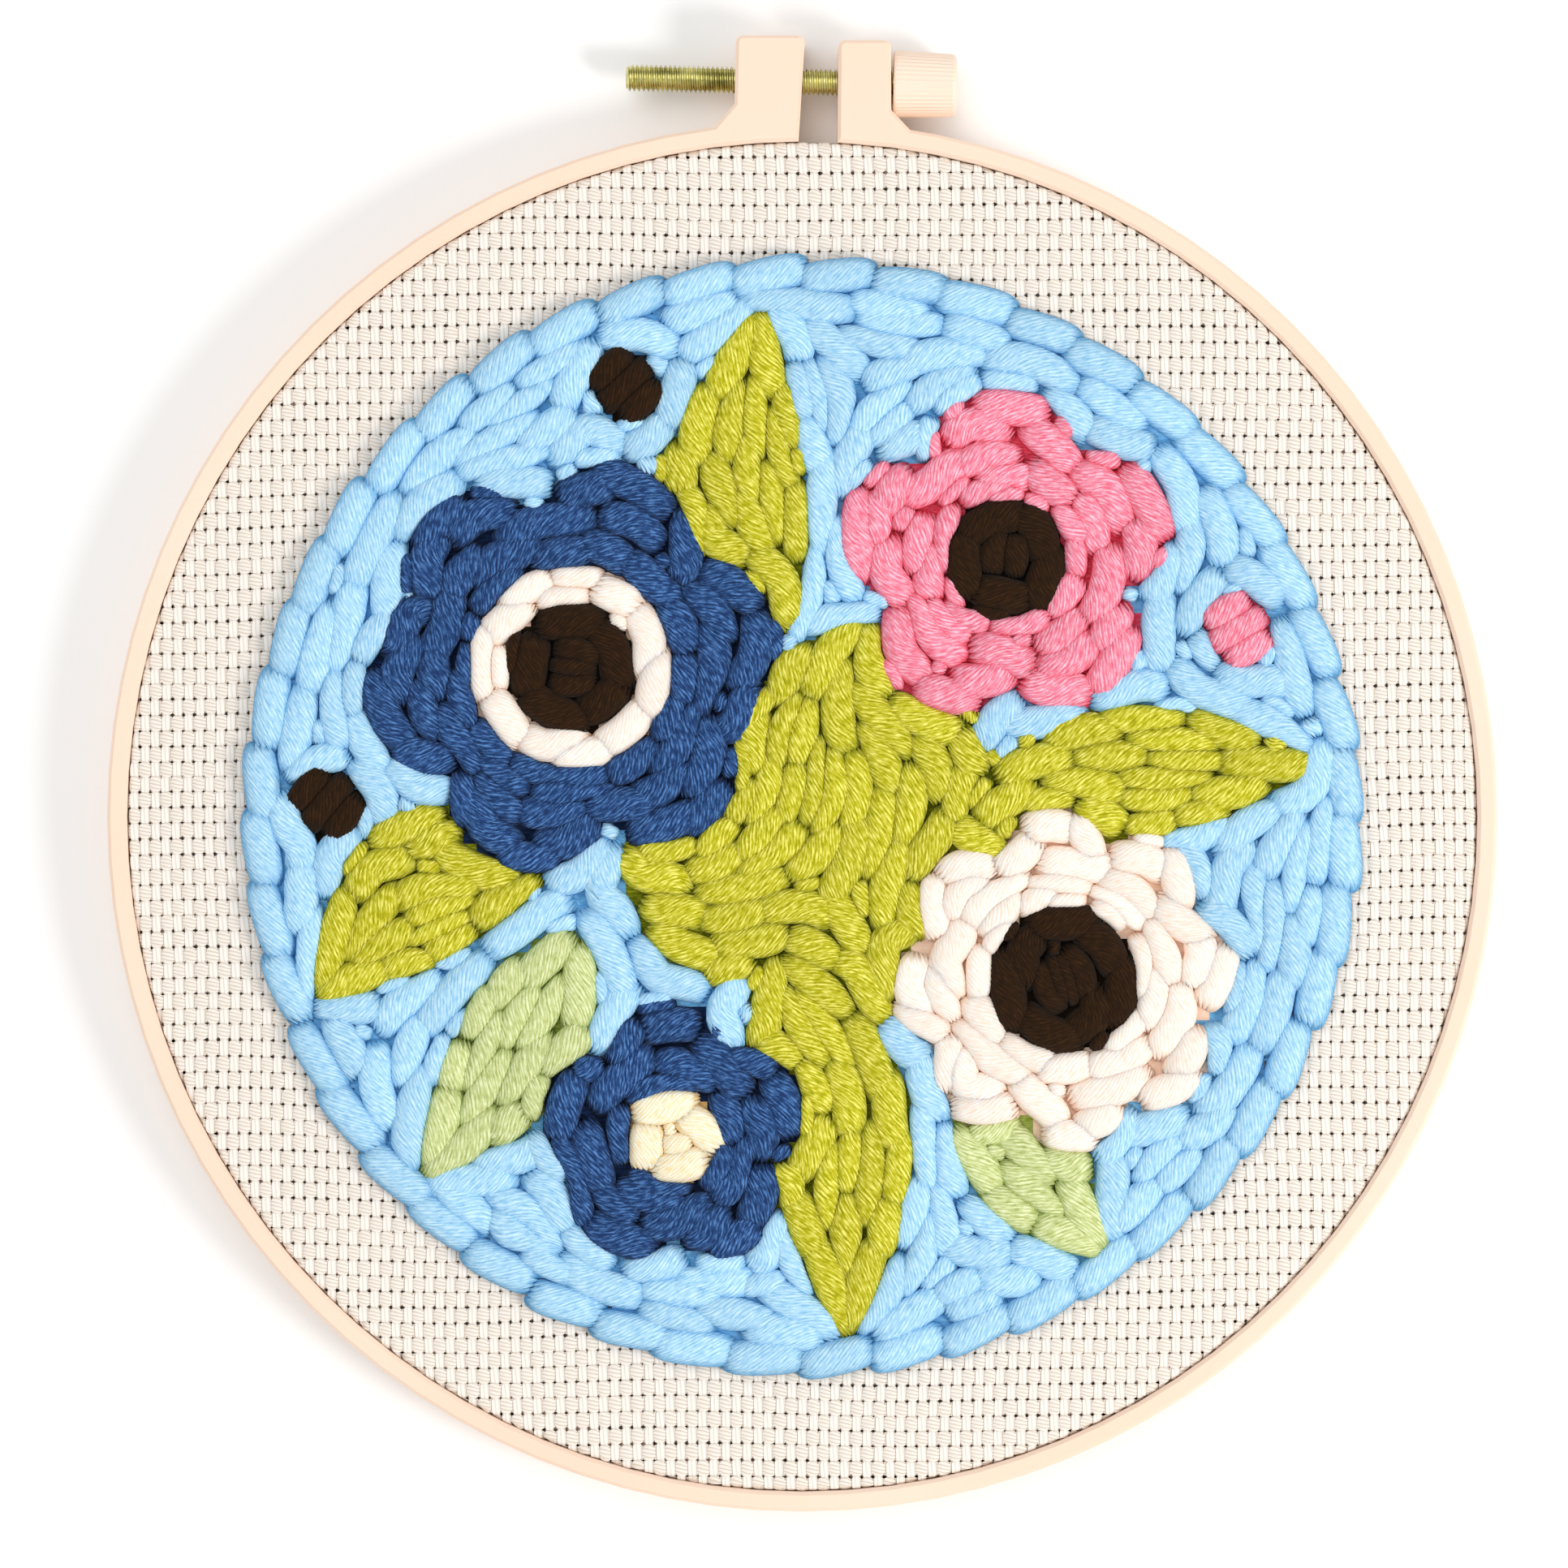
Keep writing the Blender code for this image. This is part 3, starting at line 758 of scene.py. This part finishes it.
def half_width(line, stitch, along, full):
    widest = SIDE_OVERLAP * np.interp(along, line.marks, stitch.width) / 2
    return widest * (STITCH_END_WIDTH + (1 - STITCH_END_WIDTH) * full)


def ply_starts(length, lean, pitch, rng):
    """Where each ply begins along a stitch, and how far it is from there to the next, a little unevenly."""
    spread = 2 * lean * QUARTER_TURN + length
    strays = rng.uniform(*PLY_SPACING_STRAY, math.ceil(spread / pitch) + 1)
    starts = np.cumsum(strays) * pitch - lean * QUARTER_TURN - pitch
    return zip(starts[:-1], np.diff(starts))


def on_ply(line, stitch, foot, power, turn, along):
    """Points of a ply, by their turn round the stitch and their place along it, and how far they rise."""
    full = fullness(along, line.length)
    relief = PLY_RELIEF * PLY_CREST * (PLY_RELIEF_AT_ENDS + (1 - PLY_RELIEF_AT_ENDS) * full)
    sine, cosine = np.sin(turn), np.cos(turn)
    dome = np.maximum(1 - np.abs(sine) ** power, 0.0) ** (1 / power)
    sideways = half_width(line, stitch, along, full) * sine + relief * sine
    rise = np.abs(stitch.top - foot) * full**STITCH_END_RISE * dome + relief * cosine
    heads = line.read(line.heads, along)
    left = np.stack([-heads[..., 1], heads[..., 0]], axis=-1)
    flat = line.read(line.path, along) + sideways[..., None] * left
    height = foot - rise if foot > stitch.top else foot + rise
    return np.concatenate([flat, height[..., None]], axis=-1), rise


def twisted_stitch(parts, stitch, foot, rng, power, spacing=PLY_SPACING, steps=PLY_STEPS):
    """A stitch of soft yarn: plies wound round a body that dives into the cloth at both ends.

    A higher power makes the body's top flatter and its sides steeper.
    """
    line = Line(stitch.path)
    radius = stitch.width.mean() / 2
    angle = PLY_ANGLE + rng.uniform(*PLY_ANGLE_STRAY)
    lean = radius / math.tan(angle)
    tint = rng.uniform()
    shift = rng.uniform(0.0, FIBRE_SHIFT, 2)
    marks = np.linspace(-QUARTER_TURN, QUARTER_TURN, steps + 1)
    for start, gap in ply_starts(line.length, lean, spacing / math.sin(angle), rng):
        low = max(-QUARTER_TURN, -(start + gap) / lean)
        high = min(QUARTER_TURN, (line.length - start) / lean)
        if high - low < SHORTEST_PLY_TURN:
            continue
        turn = np.unique(np.clip(marks, low, high))[:, None] + 0 * PLY_ACROSS
        along = np.clip(start + lean * turn + (PLY_ACROSS + 0.5) * gap, 0.0, line.length)
        points, rise = on_ply(line, stitch, foot, power, turn, along)
        round_it = radius * turn
        uv = np.stack([along * math.cos(angle) + round_it * math.sin(angle) + shift[0],
                       round_it * math.cos(angle) - along * math.sin(angle) + shift[1]], axis=-1)
        # The crest and the height place the material's painted highlight and painted shade; the tint is the
        # stitch's own
        look = np.stack([PLY_CREST + 0 * turn, rise / abs(stitch.top - foot), tint + 0 * turn], axis=-1)
        parts.add(points, uv, look, flip=stitch.top > foot)


def shaded_yarn_bed(parts, plan, number):
    """The low yarn that shows between the stitches of one area, as squares in the pits' painted shade."""
    area = plan.area == number
    if number == 0:
        radius = np.hypot(plan.x, plan.y)
        near_rim = (radius > RIM_ROW_INSIDE - BED_BEFORE_RIM) & (radius < RIM_ROW_RADIUS - BED_UNDER_RIM)
        area = area | near_rim
    half = BED_SQUARE // 2
    rows, columns = np.nonzero(area[half:-half:BED_SQUARE, half:-half:BED_SQUARE])
    for row, column in zip(rows * BED_SQUARE, columns * BED_SQUARE):
        square = tuple(slice(at, at + BED_SQUARE + 1, BED_SQUARE) for at in (row, column))
        x, y = plan.x[square], plan.y[square]
        level = BED_TOP + BED_WAVE * np.sin(x * BED_WAVE_X) * np.cos(y * BED_WAVE_Y)
        flat = np.stack([x, y], axis=-1)
        # A look of zeros gives each square the full painted shade of the pits
        parts.add(np.stack([x, y, level], axis=-1), flat, np.zeros((2, 2, 3)), flip=True)


def add_stitches(parts, stitches, rng, power=BODY_POWER):
    """Each stitch on the face, and the shorter one that it leaves on the cloth's back."""
    for stitch in stitches:
        twisted_stitch(parts, stitch, STITCH_FOOT, rng, power)
        middle = len(stitch.path) // 2
        back = Stitch(stitch.path[middle:], stitch.width[middle:] * BACK_WIDTH, BACK_FACE - BACK_RISE)
        twisted_stitch(parts, back, BACK_FACE, rng, power, BACK_PLY_SPACING, BACK_PLY_STEPS)


def finish_yarn(parts, name, motif, material):
    piece = parts.build(name, material)
    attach(piece, "hoop")
    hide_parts(motif.name)


def build_yarn(plan):
    materials = {colour: yarn_material("yarn " + colour, yarn) for colour, yarn in YARNS.items()}
    rng = np.random.default_rng(SEED + 1)
    for number, motif in enumerate([SKY, *MOTIFS]):
        parts = MeshParts()
        shaded_yarn_bed(parts, plan, number)
        add_stitches(parts, plan.stitches[motif.name], rng)
        finish_yarn(parts, motif.name + "_stitches", motif, materials[motif.colour])
    rim = MeshParts()
    add_stitches(rim, plan.rim, rng, RIM_BODY_POWER)
    finish_yarn(rim, "yarn_sky_rim_stitches", SKY, materials[SKY.colour])


# The cloth


def over_ring(x, y, off):
    """Where a point of the flat cloth lies once it is stretched over the inner ring and down its side."""
    radius = np.maximum(np.hypot(x, y), TINY)
    past = np.maximum(radius - CLOTH_FLAT_RADIUS, 0.0)
    quarter = CLOTH_ROLL_RADIUS * QUARTER_TURN
    turn = np.minimum(past, quarter) / CLOTH_ROLL_RADIUS
    down = np.maximum(past - quarter, 0.0)
    out = np.minimum(radius, CLOTH_FLAT_RADIUS) + (CLOTH_ROLL_RADIUS + off) * np.sin(turn)
    height = WEAVE_MIDDLE - CLOTH_ROLL_RADIUS + (CLOTH_ROLL_RADIUS + off) * np.cos(turn) - down
    return np.stack([x / radius * out, y / radius * out, height], axis=-1)


def wave_height(waves, main, other):
    return sum(wave.size * np.sin(main / wave.along + other / wave.across + wave.start) for wave in waves)


def pulled(x, y):
    """Where the flat weave's slow waves move its points."""
    calm = np.clip(CALM_LEVEL - (np.hypot(x, y) / CLOTH_FLAT_RADIUS) ** CALM_POWER, 0.0, 1.0)
    return x + calm * wave_height(PULL_SIDEWAYS, y, x), y + calm * wave_height(PULL_UPWARDS, x, y)


def build_threads(strips, rng):
    """The strips that run one way through the weave, over one crossing strip and under the next."""
    parts = MeshParts()
    skirt = WEAVE_MIDDLE - CLOTH_ROLL_RADIUS - CLOTH_TRIM_HEIGHT
    flat_radius = CLOTH_FLAT_RADIUS + CLOTH_ROLL_RADIUS * QUARTER_TURN + skirt
    across = np.array([-0.5, 0.0, 0.5]) * strips.width
    edge = np.abs(across) > 0
    step = strips.crossing / STEPS_PER_CROSSING
    last = int(flat_radius / strips.pitch)
    for number in range(-last, last + 1):
        middle = number * strips.pitch
        reach = math.sqrt(max(flat_radius**2 - (abs(middle) + strips.width / 2) ** 2, 0.0))
        count = int(reach / step)
        if count < 2:
            continue
        along = np.arange(-count, count + 1)[:, None] * step + 0 * across
        phase = math.pi * (along / strips.crossing + number + (0.0 if strips.upright else 1.0))
        wave = np.cos(phase)
        between = (1 - np.abs(wave)) ** 2
        lift = WEAVE_LIFT * np.sign(wave) * np.abs(wave) ** FLOAT_FLATNESS
        drift = sum(d.size * np.sin(along / d.length + number * d.step) for d in STRIP_DRIFT)
        pinch = 1.0 - strips.narrowing * between + rng.uniform(-WIDTH_STRAY, WIDTH_STRAY)
        sideways = middle + across * pinch + drift
        x, y = pulled(*((sideways, along) if strips.upright else (along, sideways)))
        floats = phase / (2 * math.pi)
        slant = FLOAT_SLANT * (floats - np.rint(floats))
        uv = np.stack([along + THREAD_SHIFT * number, across / strips.width + slant], axis=-1)
        # How far the strip lies on top and how near it is to a hole place the material's painted shade
        look = np.stack([wave / 2 + 0.5, edge * between, rng.uniform() + 0 * along], axis=-1)
        parts.add(over_ring(x, y, lift - STRIP_CROWN * edge), uv, look, flip=strips.upright)
    material = cloth_material(strips.name + "_cotton", strips.light, strips.shade, strips.lines)
    piece = parts.build("cloth_" + strips.name, material)
    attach(piece, "hoop")
    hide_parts("ground_cloth")


def build_cloth():
    rng = np.random.default_rng(SEED + 2)
    build_threads(WARP, rng)
    build_threads(WEFT, rng)


# The clamp screw and its knob

THREAD_PITCH = 0.7
THREAD_ROOT = 1.6
TURN_SEGMENTS = 24
SCREW_CAP_RADII = (SCREW_RADIUS - SCREW_CHAMFER, 0.8, 0.01)
SCREW_SHARP = math.radians(40)
KNOB_RIDGES = 44
RIDGE_HEIGHT = 0.09
RIDGE_FLATNESS = 0.5
RIDGE_SEGMENTS = 4
KNOB_CORNER_POINTS = 7
KNOB_SHARP = math.radians(50)

# One turn of the thread, from root to root
ThreadPoint = namedtuple("ThreadPoint", "along radius")
THREAD = [
    ThreadPoint(0.0, THREAD_ROOT),
    ThreadPoint(0.09, THREAD_ROOT),
    ThreadPoint(0.30, SCREW_RADIUS),
    ThreadPoint(0.40, SCREW_RADIUS),
    ThreadPoint(0.61, THREAD_ROOT),
    ThreadPoint(THREAD_PITCH, THREAD_ROOT),
]

# The knob's outline from its bore to the middle of its far face; ridge is the share of the full ridges
KnobPoint = namedtuple("KnobPoint", "along radius ridge")
KNOB_END = KNOB_LEFT + KNOB_LENGTH
KNOB_NEAR_FACE = [
    KnobPoint(KNOB_LEFT, SCREW_RADIUS + 0.3, 0.0),
    KnobPoint(KNOB_LEFT, KNOB_RADIUS_LEFT - 0.35, 0.0),
    KnobPoint(KNOB_LEFT + 0.3, KNOB_RADIUS_LEFT - 0.05, 0.4),
    KnobPoint(KNOB_LEFT + 0.6, KNOB_RADIUS_LEFT, 1.0),
]
KNOB_FAR_FACE = [KnobPoint(KNOB_END, 2.0, 0.0), KnobPoint(KNOB_END, 0.02, 0.0)]


def knob_corner(angle):
    """A point of the knob's rounded far edge."""
    back = KNOB_ROUNDING * (1 - math.sin(angle))
    inward = KNOB_ROUNDING * (1 - math.cos(angle))
    return KnobPoint(KNOB_END - back, KNOB_RADIUS_RIGHT - inward, 1.0 - math.sin(angle))


def round_screw(radius, turn, along):
    """Points at a radius and an angle round the screw's axis, and at a distance along it."""
    axis = np.array([math.cos(SCREW_TILT), math.sin(SCREW_TILT), 0.0])
    up = np.array([0.0, 0.0, 1.0])
    side = np.cross(axis, up)
    start = np.array([0.0, SCREW_Y, SCREW_HEIGHT])
    ring = np.cos(turn)[..., None] * up + np.sin(turn)[..., None] * side
    return start + along[..., None] * axis + radius[..., None] * ring


def build_screw():
    offset, radius = (np.array(column) for column in zip(*THREAD))
    turns = math.ceil((SCREW_RIGHT - SCREW_LEFT) / THREAD_PITCH)
    steps = np.arange(turns * TURN_SEGMENTS + 1)[:, None] / TURN_SEGMENTS
    along = np.clip(SCREW_LEFT - THREAD_PITCH + THREAD_PITCH * steps + offset, SCREW_LEFT, SCREW_RIGHT)
    from_end = np.minimum(along - SCREW_LEFT, SCREW_RIGHT - along)
    radius = np.minimum(radius, SCREW_RADIUS - SCREW_CHAMFER + from_end)
    parts = MeshParts()
    parts.add_plain(round_screw(radius, 2 * math.pi * steps + 0 * offset, along))
    turn = np.linspace(0, 2 * math.pi, TURN_SEGMENTS + 1)[None, :]
    for end, flip in ((SCREW_LEFT, False), (SCREW_RIGHT, True)):
        cap = np.array(SCREW_CAP_RADII)[:, None] + 0 * turn
        parts.add_plain(round_screw(cap, turn + 0 * cap, end + 0 * cap), flip)
    piece = parts.build("threaded_screw", zinc_material(*ZINC))
    piece.data.set_sharp_from_angle(angle=SCREW_SHARP)
    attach(piece, "screw")
    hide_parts("clamp_screw")


def build_knob():
    turn = np.linspace(0, 2 * math.pi, KNOB_RIDGES * RIDGE_SEGMENTS + 1)[None, :]
    swing = np.cos(KNOB_RIDGES * turn)
    ridge = RIDGE_HEIGHT * np.sign(swing) * np.abs(swing) ** RIDGE_FLATNESS - RIDGE_HEIGHT
    corner = [knob_corner(angle) for angle in np.linspace(0, QUARTER_TURN, KNOB_CORNER_POINTS)]
    outline = KNOB_NEAR_FACE + corner + KNOB_FAR_FACE
    along, radius, share = (np.array(column)[:, None] for column in zip(*outline))
    parts = MeshParts()
    parts.add_plain(round_screw(radius + ridge * share, turn + 0 * radius, along + 0 * turn), flip=True)
    # The knob takes the lighter copy of the ring's plastic, painted light
    piece = parts.build("knurled_knob", plastic_material("lit_knob_plastic", *LIT_KNOB_PLASTIC))
    piece.data.set_sharp_from_angle(angle=KNOB_SHARP)
    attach(piece, "grip")
    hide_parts("knob")


# The stage

# In metres, apart from the table's drop below the hoop and the sensor's width, which are in millimetres
TABLE_REACH = 2.5
TABLE_DROP = 0.02
WORLD_STRENGTH = 0.62
CAMERA_DISTANCE = 0.85
CAMERA_X = -0.0027
CAMERA_Y = -0.00155
CAMERA_AIM_HEIGHT = 0.010
VIEW_WIDTH = 0.2312
SENSOR_WIDTH = 36.0

Light = namedtuple("Light", "name place size power colour")
LIGHTS = [
    Light("key", (0.84, -0.40, 0.75), 0.40, 7.0, (1.0, 0.98, 0.95)),
    Light("fill", (-0.5, 0.4, 1.3), 1.4, 7.0, (0.97, 0.98, 1.0)),
]


def add_light(light):
    """A round area light that faces the hoop."""
    data = bpy.data.lights.new(light.name, "AREA")
    data.shape = "DISK"
    data.size = light.size
    data.energy = light.power
    data.color = light.colour
    obj = bpy.data.objects.new(light.name, data)
    obj.location = light.place
    obj.rotation_euler = (-Vector(light.place)).to_track_quat("-Z", "Y").to_euler()
    bpy.context.scene.collection.objects.link(obj)


def build_stage():
    steps = np.linspace(-TABLE_REACH, TABLE_REACH, 3) / MM
    x, y = np.meshgrid(steps, steps)
    points = np.stack([x, y, 0 * x - TABLE_DROP], axis=-1).reshape(-1, 3)
    table = add_object("table", points, lattice(3, 3), table_material())
    for light in LIGHTS:
        add_light(light)
    world = bpy.data.worlds.new("studio")
    world.use_nodes = True
    background = world.node_tree.nodes["Background"]
    background.inputs["Color"].default_value = (1.0, 1.0, 1.0, 1.0)
    background.inputs["Strength"].default_value = WORLD_STRENGTH
    bpy.context.scene.world = world
    bpy.context.scene.view_settings.view_transform = "Standard"


def build_camera():
    """Straight above the middle of the photographed view."""
    data = bpy.data.cameras.new("camera")
    data.sensor_width = SENSOR_WIDTH
    data.lens = SENSOR_WIDTH * CAMERA_DISTANCE / VIEW_WIDTH
    camera = bpy.data.objects.new("camera", data)
    camera.location = (CAMERA_X, CAMERA_Y, CAMERA_AIM_HEIGHT + CAMERA_DISTANCE)
    bpy.context.scene.collection.objects.link(camera)
    bpy.context.scene.camera = camera


def dress_rings():
    plastic = plastic_material("ring_plastic", *RING_PLASTIC)
    for name in ("outer_ring", "inner_ring"):
        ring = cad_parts[name]
        ring.data.materials.clear()
        ring.data.materials.append(plastic)


def main():
    dress_rings()
    build_camera()
    build_stage()
    build_cloth()
    build_screw()
    build_knob()
    build_yarn(StitchPlan())


main()
